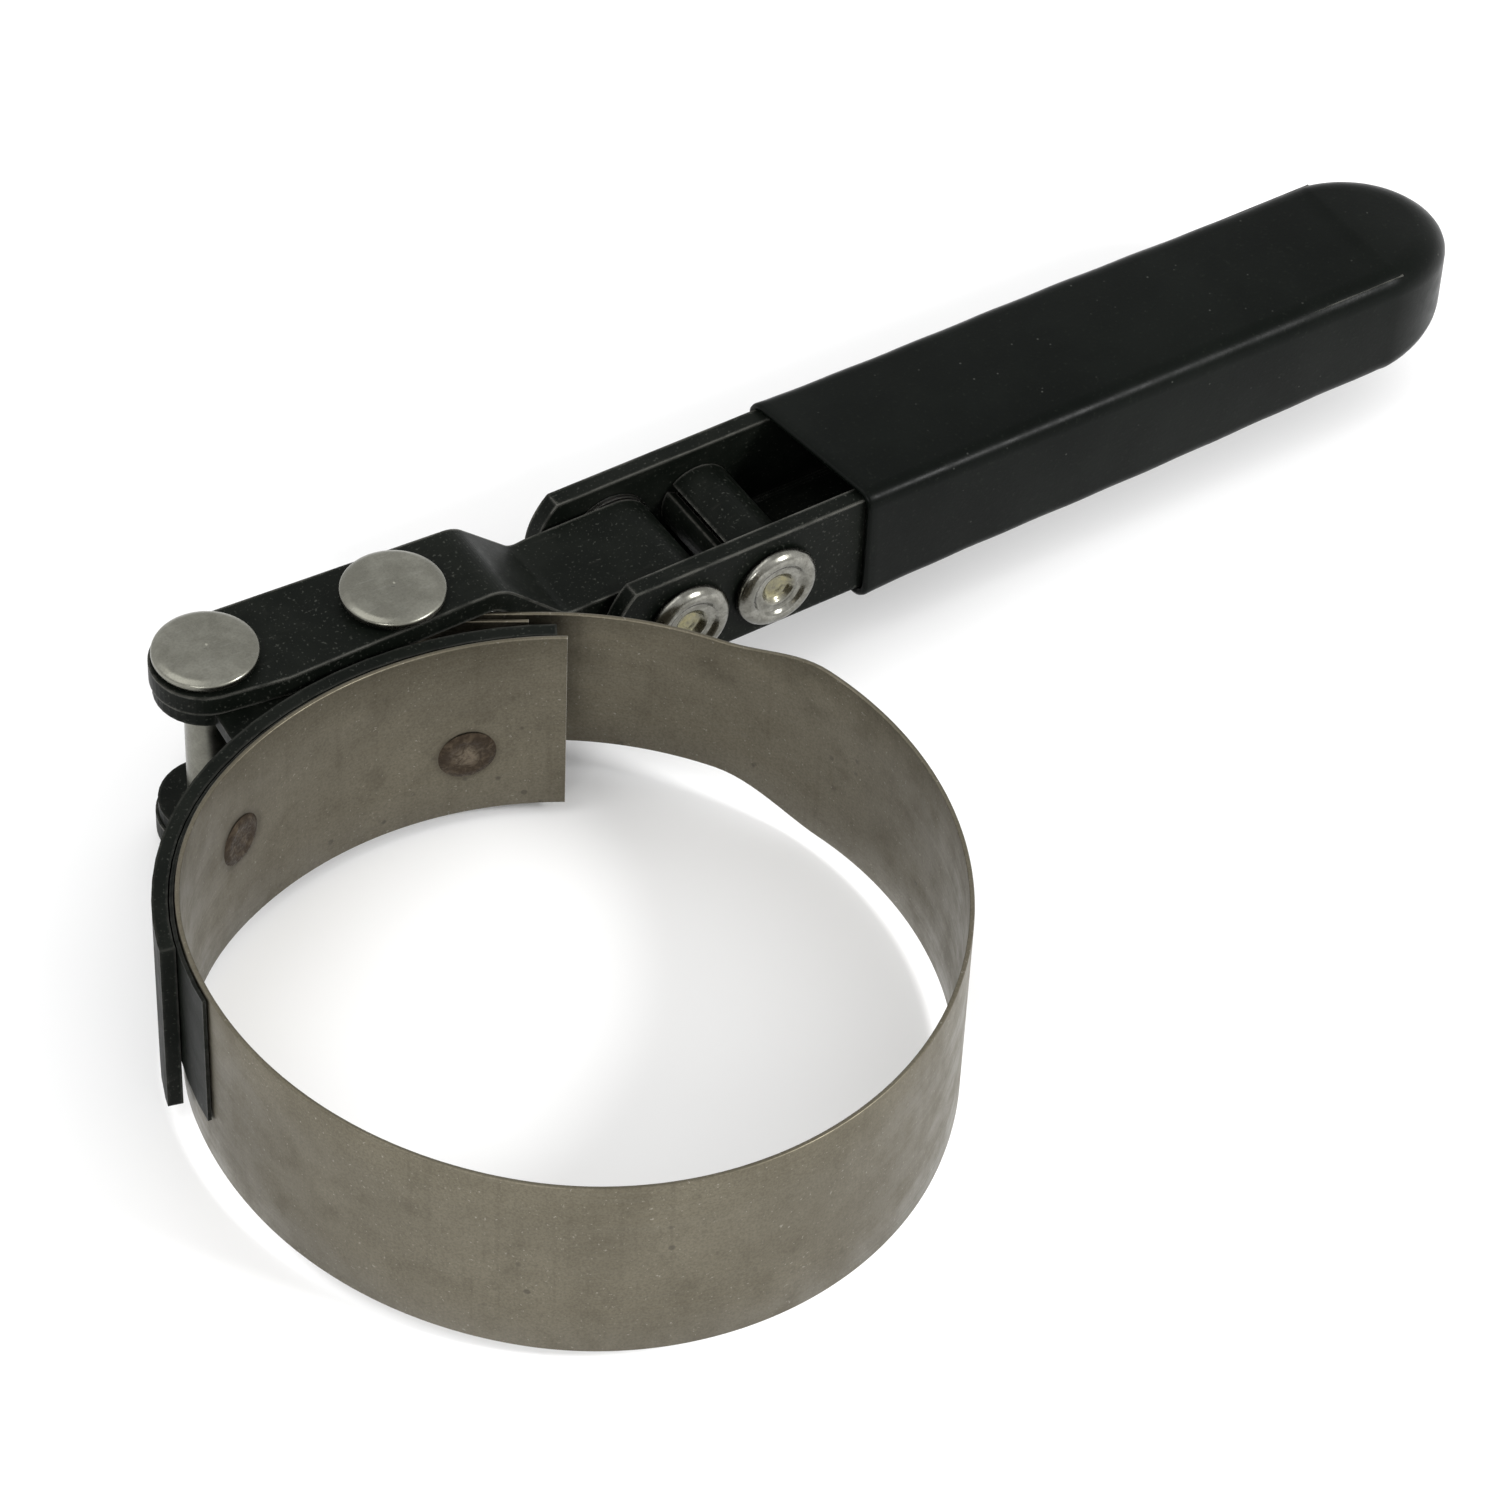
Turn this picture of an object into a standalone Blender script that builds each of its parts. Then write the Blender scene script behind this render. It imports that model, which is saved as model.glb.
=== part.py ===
"""Oil filter wrench: a spring-steel band on a riveted shoe, a strap lever and a swivelling channel handle.

Metres, +Z up. The origin is on the shoe pivot's axis, in the plane of the lower rivet heads.
+X runs along the handle, and the band's axis is parallel to +Z.
"""

import math

import bmesh
import bpy
from mathutils import Matrix, Vector

MM = 0.001
TURN = 2 * math.pi

# Clearances
TOUCH = 0.2 * MM
RUNNING = 0.1 * MM

# Band: a chain of tangent arcs in plan, each a radius and a sweep in degrees
BAND_WIDTH = 24.3 * MM
BAND_THICKNESS = 0.5 * MM
BAND_START = Vector((33.3, -16.1)) * MM
BAND_START_HEADING = math.radians(149.0)
BAND_ARCS = ((40.0 * MM, 58.2), (29.8 * MM, 49.9), (43.1 * MM, 60.1), (36.6 * MM, 79.5))
BAND_LAST_RADIUS = 41.4 * MM
ARC_STEP = math.radians(5.0)

# Band end that loops round the band pivot
TAIL_WIDTH = 18.6 * MM
NECK_LENGTH = 12.0 * MM
TAIL_BEFORE_LOOP = 28.5 * MM
TAIL_GAP = 0.3 * MM
LOOP_CLEARANCE = 0.45 * MM
LOOP_THROAT_RADIUS = 4.0 * MM
FLAP_GAP = 0.6 * MM
FLAP_LENGTH = 8.4 * MM

# Shoe and backing strip, outside the band's first end
BACKING_THICKNESS = 0.4 * MM
SHOE_THICKNESS = 1.6 * MM
SHOE_HEIGHT = 23.0 * MM
SHOE_LENGTH = 65.0 * MM
BACKING_OVERHANG = 7.5 * MM
BACKING_RISE = 11.5 * MM
BACKING_DROP = 6.0 * MM
SKIN_GAP = 0.15 * MM
EAR_RADIUS = 5.6 * MM
EAR_ROOT = (25.0 * MM, 36.5 * MM)

# Pivot rivets
PIVOT_RADIUS = 2.5 * MM
PIVOT_HEAD_RADIUS = 5.6 * MM
PIVOT_HEAD_HEIGHT = 1.5 * MM
PIVOT_FOOT_RADIUS = 5.0 * MM
BAND_PIVOT = Vector((20.9, -1.9)) * MM

# Lever strap: two plates that close to an eye round the swivel rivet
STRAP_THICKNESS = 2.4 * MM
STRAP_INNER = 9.8 * MM
STRAP_NEAR = -6.9 * MM
STRAP_FAR = 3.9 * MM
STRAP_END_RADIUS = 5.9 * MM
EYE_FAR = 5.1 * MM
BEND_X = 30.8 * MM
BEND_SLOPE = math.radians(44.0)
BEND_RADIUS = 3.6 * MM

# Handle channel
SWIVEL_X = 51.9 * MM
SPACER_X = 62.9 * MM
CHANNEL_Y = -0.9 * MM
CHANNEL_WIDTH = 18.0 * MM
CHANNEL_HEIGHT = 13.4 * MM
CHANNEL_WALL = 2.1 * MM
CHANNEL_CORNER = 1.0 * MM
CHANNEL_INNER_CORNER = 0.8 * MM
CHANNEL_NOSE = 9.2 * MM
CHANNEL_END_X = 146.0 * MM
WEB_CUTBACK = 6.4 * MM

# Channel rivets, washers and rolled spacer
SWIVEL_RADIUS = 2.3 * MM
ROLLED_RADIUS = 5.0 * MM
ROLLED_HEIGHT = 1.5 * MM
ROLLED_BORE = 1.7 * MM
ROLLED_RIM = 1.0 * MM
ROLLED_DEPTH = 2.6 * MM
WASHER_THICKNESS = 0.6 * MM
WASHER_RADIUS = 5.0 * MM
SPACER_RADIUS = 4.3 * MM
SPACER_WALL = 1.3 * MM
SPACER_SLIT = math.radians(12.0)
SPACER_SLIT_ANGLE = math.radians(140.0)

# Grip sleeve
GRIP_WALL = 0.8 * MM
GRIP_MOUTH_NEAR_X = 74.2 * MM
GRIP_MOUTH_FAR_X = 71.6 * MM
GRIP_TIP_X = 157.2 * MM
GRIP_CORNER = 2.0 * MM

# Spot welds on the band's inner face: distance along the band from its first end
WELD_STATIONS = (10.5 * MM, 39.5 * MM)
WELD_RISES = (-3.5 * MM, 1.0 * MM)
WELD_RADIUS = 3.0 * MM
WELD_HEIGHT = 0.25 * MM

# Spot welds that hold the flap to the band, in the gap between them
FLAP_WELD_RADIUS = 2.0 * MM
FLAP_WELD_RISE = 4.6 * MM
FLAP_WELD_BACK = 4.2 * MM

# Heights, from the middle plane
STRAP_OUTER = STRAP_INNER + STRAP_THICKNESS
MIDDLE = STRAP_OUTER + TOUCH + PIVOT_HEAD_HEIGHT
EYE_INNER = SWIVEL_RADIUS + RUNNING
LOOP_RADIUS = PIVOT_RADIUS + LOOP_CLEARANCE + BAND_THICKNESS / 2
BACKING_OFFSET = BAND_THICKNESS / 2 + SKIN_GAP + BACKING_THICKNESS / 2
SHOE_OFFSET = BACKING_OFFSET + BACKING_THICKNESS / 2 + SKIN_GAP + SHOE_THICKNESS / 2


def clear_scene():
    for obj in list(bpy.data.objects):
        bpy.data.objects.remove(obj, do_unlink=True)


def new_collection(name, hidden=False):
    collection = bpy.data.collections.new(name)
    bpy.context.scene.collection.children.link(collection)
    collection.hide_render = hidden
    return collection


def make_material(name, color, roughness, metallic):
    material = bpy.data.materials.new(name)
    material.use_nodes = True
    shader = material.node_tree.nodes["Principled BSDF"]
    shader.inputs["Base Color"].default_value = (*color, 1.0)
    shader.inputs["Roughness"].default_value = roughness
    shader.inputs["Metallic"].default_value = metallic
    material.diffuse_color = (*color, 1.0)
    return material


def steps_for(angle):
    return max(2, math.ceil(abs(angle) / ARC_STEP))


def arc(center, radius, start, sweep, steps=None):
    """Points along an arc, its first point included."""
    steps = steps or steps_for(sweep)
    return [
        center + radius * Vector((math.cos(start + sweep * i / steps), math.sin(start + sweep * i / steps)))
        for i in range(steps + 1)
    ]


class Route:
    """A plan line drawn by driving forward: straights and arcs that stay tangent."""

    def __init__(self, start, heading):
        self.points = [start.copy()]
        self.heading = heading

    def side(self):
        return Vector((-math.sin(self.heading), math.cos(self.heading)))

    def straight(self, length):
        ahead = Vector((math.cos(self.heading), math.sin(self.heading)))
        self.points.append(self.points[-1] + length * ahead)

    def turn(self, radius, sweep):
        """Turns left for a positive sweep, in radians."""
        toward = math.copysign(1.0, sweep)
        center = self.points[-1] + toward * radius * self.side()
        start = self.heading - toward * math.pi / 2
        self.points += arc(center, radius, start, sweep)[1:]
        self.heading += sweep

    def turn_center(self, radius):
        return self.points[-1] + radius * self.side()


def band_route():
    """The band's plan line from its welded end to its folded flap, and the index where the loop starts."""
    route = Route(BAND_START, BAND_START_HEADING)
    for radius, degrees in BAND_ARCS:
        route.turn(radius, math.radians(degrees))
    aside = (BAND_THICKNESS + FLAP_GAP) / 2
    throat = math.acos((aside + LOOP_THROAT_RADIUS) / (LOOP_RADIUS + LOOP_THROAT_RADIUS))
    throat_length = (LOOP_RADIUS + LOOP_THROAT_RADIUS) * math.sin(throat)
    to_loop = BAND_PIVOT - route.turn_center(BAND_LAST_RADIUS)
    difference = BAND_LAST_RADIUS - aside
    straight = math.sqrt(to_loop.length_squared - difference**2)
    leaving = math.atan2(to_loop.y, to_loop.x) + math.atan2(difference, straight)
    route.turn(BAND_LAST_RADIUS, (leaving - route.heading) % TURN)
    for _ in range(4):
        route.straight((straight - throat_length) / 4)
    loop_start = len(route.points) - 1
    route.turn(LOOP_THROAT_RADIUS, -throat)
    route.turn(LOOP_RADIUS, math.pi + 2 * throat)
    route.turn(LOOP_THROAT_RADIUS, -throat)
    route.straight(FLAP_LENGTH)
    return route.points, loop_start


def stations(points):
    """Distance along the line at each point."""
    distances = [0.0]
    for before, after in zip(points, points[1:]):
        distances.append(distances[-1] + (after - before).length)
    return distances


def point_at(points, distance):
    """The point at a distance along the line, and the unit direction there."""
    for before, after in zip(points, points[1:]):
        length = (after - before).length
        if distance <= length:
            break
        distance -= length
    direction = (after - before).normalized()
    return before + direction * distance, direction


def stretch(points, start, end):
    """The part of the line between two distances."""
    inside = [p for p, s in zip(points, stations(points)) if start < s < end]
    return [point_at(points, start)[0], *inside, point_at(points, end)[0]]


def offset_line(points, distance):
    """The line moved to its right by a distance."""
    moved = []
    for index, point in enumerate(points):
        before = points[max(index - 1, 0)]
        after = points[min(index + 1, len(points) - 1)]
        along = (after - before).normalized()
        moved.append(point + distance * Vector((along.y, -along.x)))
    return moved


def plan_curve(name, points, half_height, cyclic):
    """A 2D curve that stands half_height above and below its own plane."""
    curve = bpy.data.curves.new(name, "CURVE")
    curve.dimensions = "2D"
    curve.fill_mode = "BOTH" if cyclic else "NONE"
    curve.extrude = half_height
    spline = curve.splines.new("POLY")
    spline.points.add(len(points) - 1)
    for spline_point, point in zip(spline.points, points):
        spline_point.co = (point[0], point[1], 0.0, 1.0)
    spline.use_cyclic_u = cyclic
    return bpy.data.objects.new(name, curve)


def mesh_object(obj, collection, matrix=None):
    """Turns a curve object into a welded mesh object in the collection."""
    obj.matrix_world = matrix or Matrix.Identity(4)
    bpy.context.scene.collection.objects.link(obj)
    bpy.context.view_layer.update()
    graph = bpy.context.evaluated_depsgraph_get()
    mesh = bpy.data.meshes.new_from_object(obj.evaluated_get(graph))
    form = bmesh.new()
    form.from_mesh(mesh)
    bmesh.ops.remove_doubles(form, verts=form.verts, dist=0.001 * MM)
    if not obj.data.splines[0].use_cyclic_u:
        form.to_mesh(mesh)
    else:
        bmesh.ops.recalc_face_normals(form, faces=form.faces)
        form.to_mesh(mesh)
    form.free()
    name = obj.name
    matrix = obj.matrix_world.copy()
    bpy.data.objects.remove(obj, do_unlink=True)
    made = bpy.data.objects.new(name, mesh)
    made.matrix_world = matrix
    collection.objects.link(made)
    return made


def prism(name, outline, half_height, collection, matrix=None):
    return mesh_object(plan_curve(name, outline, half_height, True), collection, matrix)


def ribbon(name, line, half_height, thickness, collection, matrix=None):
    """A strip of sheet that stands on its plan line."""
    made = mesh_object(plan_curve(name, line, half_height, False), collection, matrix)
    solid = made.modifiers.new("Sheet", "SOLIDIFY")
    solid.thickness = thickness
    solid.offset = 0.0
    solid.use_even_offset = True
    return made


def cylinder(name, radius, depth, location, along_y, collection, segments=48):
    form = bmesh.new()
    bmesh.ops.create_cone(
        form, cap_ends=True, segments=segments, radius1=radius, radius2=radius, depth=depth
    )
    mesh = bpy.data.meshes.new(name)
    form.to_mesh(mesh)
    form.free()
    made = bpy.data.objects.new(name, mesh)
    made.location = location
    if along_y:
        made.rotation_euler = (math.pi / 2, 0.0, 0.0)
    collection.objects.link(made)
    return made


def box(name, low, high, collection):
    form = bmesh.new()
    bmesh.ops.create_cube(form, size=1.0)
    size = Vector(high) - Vector(low)
    bmesh.ops.scale(form, vec=size, verts=form.verts)
    bmesh.ops.translate(form, vec=Vector(low) + size / 2, verts=form.verts)
    mesh = bpy.data.meshes.new(name)
    form.to_mesh(mesh)
    form.free()
    made = bpy.data.objects.new(name, mesh)
    collection.objects.link(made)
    return made


def combine(target, other, operation):
    """Adds an exact Boolean, with the other solid kept as a hidden helper."""
    modifier = target.modifiers.new(other.name, "BOOLEAN")
    modifier.object = other
    modifier.operation = operation
    modifier.solver = "EXACT"
    other.hide_render = True
    other.display_type = "WIRE"


def round_edges(obj, width, segments=2, angle=40.0):
    bevel = obj.modifiers.new("Edges", "BEVEL")
    bevel.width = width
    bevel.segments = segments
    bevel.limit_method = "ANGLE"
    bevel.angle_limit = math.radians(angle)
    bevel.harden_normals = False


def turned(name, profile, location, along_y, collection, steps=48):
    """A solid turned from (radius, height) points that run down its outer side."""
    mesh = bpy.data.meshes.new(name)
    mesh.from_pydata([(r, 0.0, z) for r, z in profile], [(i, i + 1) for i in range(len(profile) - 1)], [])
    made = bpy.data.objects.new(name, mesh)
    screw = made.modifiers.new("Turn", "SCREW")
    screw.steps = steps
    screw.render_steps = steps
    screw.use_merge_vertices = True
    screw.merge_threshold = 0.001 * MM
    made.location = location
    if along_y:
        made.rotation_euler = (-math.pi / 2, 0.0, 0.0)
    collection.objects.link(made)
    return made


def finish(obj, material, smooth=None):
    obj.data.materials.clear()
    obj.data.materials.append(material)
    if smooth:
        obj.data.shade_smooth()
        obj.data.set_sharp_from_angle(angle=math.radians(smooth))
    return obj


def stand(height):
    """Lifts a plan shape so that its own plane lies at a height."""
    return Matrix.Translation((0.0, 0.0, height))


def make_band(parts, steel):
    points, _ = band_route()
    length = stations(points)[-1]
    tail_start = tail_station(points)
    line = stretch(points, 0.0, tail_start - TAIL_GAP)
    hoop = mesh_object(plan_curve("band_hoop", line, BAND_WIDTH / 2, False), parts, stand(MIDDLE))
    ends = stations(line)
    for vertex in hoop.data.vertices:
        nearest = min(range(len(line)), key=lambda i: (line[i] - vertex.co.xy).length)
        past = (ends[nearest] - (tail_start - TAIL_GAP - NECK_LENGTH)) / NECK_LENGTH
        past = min(max(past, 0.0), 1.0)
        smooth = past * past * (3 - 2 * past)
        vertex.co.z *= 1 + smooth * (TAIL_WIDTH / BAND_WIDTH - 1)
    solid = hoop.modifiers.new("Sheet", "SOLIDIFY")
    solid.thickness = BAND_THICKNESS
    solid.offset = 0.0
    finish(hoop, steel, 30.0)
    tail_line = stretch(points, tail_start, length)
    tail = ribbon("band_tail", tail_line, TAIL_WIDTH / 2, BAND_THICKNESS, parts, stand(MIDDLE))
    finish(tail, steel, 30.0)


def tail_station(points):
    """Where the band's narrow end starts, measured back from its loop."""
    _, loop_start = band_route()
    return stations(points)[loop_start] - TAIL_BEFORE_LOOP


def make_disc(name, radius, crown, height, place, rise, outward, parts):
    """A low disc standing on edge, its crown facing the plan direction outward."""
    form = bmesh.new()
    bmesh.ops.create_cone(form, cap_ends=True, segments=24, radius1=radius, radius2=crown, depth=height)
    mesh = bpy.data.meshes.new(name)
    form.to_mesh(mesh)
    form.free()
    disc = bpy.data.objects.new(name, mesh)
    disc.location = (place.x, place.y, MIDDLE + rise)
    disc.rotation_euler = (math.pi / 2, 0.0, math.atan2(outward.y, outward.x) + math.pi / 2)
    parts.objects.link(disc)
    return disc


def make_shoe_welds(parts, burnt):
    points, _ = band_route()
    sag = WELD_RADIUS**2 / (2 * BAND_ARCS[0][0])
    off = BAND_THICKNESS / 2 + sag + RUNNING + WELD_HEIGHT / 2
    for index, (station, rise) in enumerate(zip(WELD_STATIONS, WELD_RISES)):
        point, along = point_at(points, station)
        inward = Vector((-along.y, along.x))
        name = f"shoe_spot_weld_{index + 1}"
        place = point + inward * off
        weld = make_disc(name, WELD_RADIUS, 0.8 * WELD_RADIUS, WELD_HEIGHT, place, rise, inward, parts)
        finish(weld, burnt)


def make_flap_welds(parts, burnt):
    points, loop_start = band_route()
    point, along = point_at(points, stations(points)[loop_start] - FLAP_WELD_BACK)
    inward = Vector((-along.y, along.x))
    place = point + inward * (BAND_THICKNESS + FLAP_GAP) / 2
    height = FLAP_GAP - 2 * RUNNING
    for index, rise in enumerate((FLAP_WELD_RISE, -FLAP_WELD_RISE)):
        name = f"flap_spot_weld_{index + 1}"
        weld = make_disc(name, FLAP_WELD_RADIUS, FLAP_WELD_RADIUS, height, place, rise, inward, parts)
        finish(weld, burnt)


def make_backing(parts, black):
    points, _ = band_route()
    line = offset_line(stretch(points, 1.5 * MM, SHOE_LENGTH + BACKING_OVERHANG), BACKING_OFFSET)
    half_height = (BACKING_RISE + BACKING_DROP) / 2
    place = stand(MIDDLE + (BACKING_RISE - BACKING_DROP) / 2)
    backing = ribbon("backing_strip", line, half_height, BACKING_THICKNESS, parts, place)
    finish(backing, black, 30.0)


def make_shoe(parts, cutters, black):
    points, _ = band_route()
    wall_line = offset_line(stretch(points, 1.0 * MM, SHOE_LENGTH), SHOE_OFFSET)
    shoe = ribbon("shoe", wall_line, SHOE_HEIGHT / 2, SHOE_THICKNESS, parts, stand(MIDDLE))
    root = offset_line(stretch(points, *EAR_ROOT), SHOE_OFFSET)
    around = arc(Vector((0.0, 0.0)), EAR_RADIUS, math.radians(-35.0), math.radians(285.0), 28)
    outline = [*around, *reversed(root)]
    for name, side in (("upper", 1), ("lower", -1)):
        height = MIDDLE + side * (STRAP_INNER - TOUCH - SHOE_THICKNESS / 2)
        ear = prism(f"{name}_ear", outline, SHOE_THICKNESS / 2, cutters, stand(height))
        combine(shoe, ear, "UNION")
    bore = cylinder(
        "shoe_bore", PIVOT_RADIUS + RUNNING, 2 * SHOE_HEIGHT, (0.0, 0.0, MIDDLE), False, cutters
    )
    combine(shoe, bore, "DIFFERENCE")
    finish(shoe, black, 30.0)


def strap_line():
    """The strap's side line in X and height, from the upper plate's end round the eye to the lower one."""
    plate = STRAP_INNER + STRAP_THICKNESS / 2
    eye = EYE_INNER + STRAP_THICKNESS / 2
    half = Route(Vector((-2 * STRAP_END_RADIUS, plate)), 0.0)
    tangent = BEND_RADIUS * math.tan(BEND_SLOPE / 2)
    half.straight(BEND_X - tangent + 2 * STRAP_END_RADIUS)
    half.turn(BEND_RADIUS, -BEND_SLOPE)
    half.straight((plate - eye) / math.sin(BEND_SLOPE) - 2 * tangent)
    half.turn(BEND_RADIUS, BEND_SLOPE)
    half.straight(SWIVEL_X - half.points[-1].x)
    half.turn(eye, -math.pi / 2)
    lower = [Vector((p.x, -p.y)) for p in reversed(half.points[:-1])]
    return half.points + lower


def make_strap(parts, cutters, black):
    upright = Matrix.Translation((0.0, 0.0, MIDDLE)) @ Matrix.Rotation(math.pi / 2, 4, "X")
    strap = ribbon("lever_strap", strap_line(), CHANNEL_WIDTH, STRAP_THICKNESS, parts, upright)
    past_eye = SWIVEL_X + 2 * ROLLED_RADIUS
    outline = [
        *arc(Vector((0.0, 0.0)), STRAP_END_RADIUS, math.radians(90.0), math.radians(170.0), 24),
        Vector((6.0 * MM, STRAP_NEAR)),
        Vector((past_eye, STRAP_NEAR)),
        Vector((past_eye, EYE_FAR)),
        Vector((BEND_X + 10.0 * MM, EYE_FAR)),
        Vector((BEND_X - 1.0 * MM, STRAP_FAR)),
    ]
    plan = prism("strap_plan", outline, BAND_WIDTH, cutters, stand(MIDDLE))
    combine(strap, plan, "INTERSECT")
    for name, place in (("strap_shoe_bore", Vector((0.0, 0.0))), ("strap_band_bore", BAND_PIVOT)):
        bore = cylinder(
            name, PIVOT_RADIUS + RUNNING, 2 * BAND_WIDTH, (place.x, place.y, MIDDLE), False, cutters
        )
        combine(strap, bore, "DIFFERENCE")
    finish(strap, black, 30.0)


def make_pivot_rivet(name, place, parts, zinc):
    """A solid rivet with a flat head on top and an upset head below."""
    under = STRAP_OUTER + TOUCH
    top = under + PIVOT_HEAD_HEIGHT
    edge = 0.45 * MM
    profile = [
        (0.0, top),
        (PIVOT_HEAD_RADIUS - 2 * edge, top),
        (PIVOT_HEAD_RADIUS - 0.6 * edge, top - 0.35 * edge),
        (PIVOT_HEAD_RADIUS, top - edge),
        (PIVOT_HEAD_RADIUS - 0.3 * edge, under),
        (PIVOT_RADIUS, under),
        (PIVOT_RADIUS, -under),
        (PIVOT_FOOT_RADIUS, -under),
        (PIVOT_FOOT_RADIUS, -top + edge),
        (PIVOT_FOOT_RADIUS - 2 * edge, -top),
        (0.0, -top),
    ]
    rivet = turned(name, profile, (place.x, place.y, MIDDLE), False, parts)
    finish(rivet, zinc, 30.0)


def channel_section():
    """The U of the handle in Y and height, open at the top."""
    half = CHANNEL_WIDTH / 2
    low = -CHANNEL_HEIGHT / 2
    high = CHANNEL_HEIGHT / 2
    corner = CHANNEL_CORNER
    inner = CHANNEL_INNER_CORNER
    inside = half - CHANNEL_WALL
    floor = low + CHANNEL_WALL
    quarter = math.pi / 2
    near_out = arc(Vector((-half + corner, low + corner)), corner, math.pi, quarter, 6)
    far_out = arc(Vector((half - corner, low + corner)), corner, 3 * quarter, quarter, 6)
    far_in = arc(Vector((inside - inner, floor + inner)), inner, 0.0, -quarter, 4)
    near_in = arc(Vector((-inside + inner, floor + inner)), inner, 3 * quarter, -quarter, 4)
    return [
        Vector((-half, high)),
        *near_out,
        *far_out,
        Vector((half, high)),
        Vector((inside, high)),
        *far_in,
        *near_in,
        Vector((-inside, high)),
    ]


def across(x, y=CHANNEL_Y):
    """Turns a (Y, height) section to face along X, with its middle at x."""
    turn = Matrix(((0, 0, 1, 0), (1, 0, 0, 0), (0, 1, 0, 0), (0, 0, 0, 1)))
    return Matrix.Translation((x, y, MIDDLE)) @ turn


def make_channel(parts, cutters, black):
    start = SWIVEL_X - CHANNEL_NOSE - 2 * MM
    middle = (start + CHANNEL_END_X) / 2
    channel = prism("handle_channel", channel_section(), CHANNEL_END_X - middle, parts, across(middle))
    upright = Matrix.Translation((0.0, CHANNEL_Y, MIDDLE)) @ Matrix.Rotation(math.pi / 2, 4, "X")
    reach = CHANNEL_HEIGHT
    nose = arc(Vector((SWIVEL_X, 0.0)), CHANNEL_NOSE, math.radians(90.0), math.radians(180.0), 40)
    outline = [*nose, Vector((CHANNEL_END_X + reach, -CHANNEL_NOSE)), Vector((CHANNEL_END_X + reach, CHANNEL_NOSE))]
    side = prism("channel_side", outline, CHANNEL_WIDTH, cutters, upright)
    combine(channel, side, "INTERSECT")
    half_inside = CHANNEL_WIDTH / 2 - CHANNEL_WALL
    cutback = box(
        "web_cutback",
        (0.0, CHANNEL_Y - half_inside, MIDDLE - CHANNEL_HEIGHT),
        (SWIVEL_X + WEB_CUTBACK, CHANNEL_Y + half_inside, MIDDLE),
        cutters,
    )
    combine(channel, cutback, "DIFFERENCE")
    for name, x in (("swivel_bore", SWIVEL_X), ("spacer_bore", SPACER_X)):
        bore = cylinder(
            name, SWIVEL_RADIUS + RUNNING, 2 * CHANNEL_WIDTH, (x, CHANNEL_Y, MIDDLE), True, cutters
        )
        combine(channel, bore, "DIFFERENCE")
    finish(channel, black, 30.0)


def make_channel_rivet(name, x, parts, zinc):
    """A semi-tubular rivet: domed head on the far wall, rolled ring with a dimple on the near wall."""
    wall = CHANNEL_WIDTH / 2 + RUNNING
    rim = wall + ROLLED_HEIGHT
    profile = [
        (0.0, rim),
        (0.5 * ROLLED_RADIUS, rim - 0.1 * ROLLED_HEIGHT),
        (0.85 * ROLLED_RADIUS, rim - 0.45 * ROLLED_HEIGHT),
        (ROLLED_RADIUS, wall + 0.2 * ROLLED_HEIGHT),
        (ROLLED_RADIUS, wall),
        (SWIVEL_RADIUS, wall),
        (SWIVEL_RADIUS, -wall),
        (0.9 * ROLLED_RADIUS, -wall),
        (ROLLED_RADIUS, -wall - 0.4 * ROLLED_HEIGHT),
        (0.94 * ROLLED_RADIUS, -wall - 0.8 * ROLLED_HEIGHT),
        (ROLLED_RADIUS - 0.8 * ROLLED_RIM, -rim),
        (ROLLED_RADIUS - 1.5 * ROLLED_RIM, -rim + 0.3 * ROLLED_HEIGHT),
        (ROLLED_BORE + 0.6 * MM, -rim + 0.7 * ROLLED_HEIGHT),
        (ROLLED_BORE, -rim + ROLLED_HEIGHT),
        (ROLLED_BORE, -rim + ROLLED_DEPTH),
        (0.0, -rim + ROLLED_DEPTH + 0.5 * MM),
    ]
    rivet = turned(name, profile, (x, CHANNEL_Y, MIDDLE), True, parts)
    finish(rivet, zinc, 30.0)


def make_washers(parts, steel):
    """Friction washers between the strap's eye and the channel's walls."""
    inside = CHANNEL_WIDTH / 2 - CHANNEL_WALL
    near = (CHANNEL_Y - inside + STRAP_NEAR) / 2
    far = (CHANNEL_Y + inside + EYE_FAR) / 2
    for name, y in (("near_friction_washer", near), ("far_friction_washer", far)):
        half = WASHER_THICKNESS / 2
        bore = SWIVEL_RADIUS + RUNNING
        profile = [(bore, half), (WASHER_RADIUS, half), (WASHER_RADIUS, -half), (bore, -half), (bore, half)]
        washer = turned(name, profile, (SWIVEL_X, y, MIDDLE), True, parts, 36)
        finish(washer, steel, 30.0)


def make_spacer(parts, black):
    """A rolled sleeve on the spacer rivet that keeps the channel's walls apart."""
    middle_radius = SPACER_RADIUS - SPACER_WALL / 2
    start = SPACER_SLIT_ANGLE + SPACER_SLIT / 2
    line = arc(Vector((0.0, 0.0)), middle_radius, start, TURN - SPACER_SLIT, 40)
    half = CHANNEL_WIDTH / 2 - CHANNEL_WALL - TOUCH
    upright = Matrix.Translation((SPACER_X, CHANNEL_Y, MIDDLE)) @ Matrix.Rotation(math.pi / 2, 4, "X")
    spacer = ribbon("rolled_spacer", line, half, SPACER_WALL, parts, upright)
    finish(spacer, black, 30.0)


def rounded_plan(start, end, half_width):
    """A plan outline with a square start and a half-round end."""
    tip = Vector((end - half_width, CHANNEL_Y))
    return [
        Vector((start, CHANNEL_Y - half_width)),
        *arc(tip, half_width, -math.pi / 2, math.pi, 28),
        Vector((start, CHANNEL_Y + half_width)),
    ]


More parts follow.
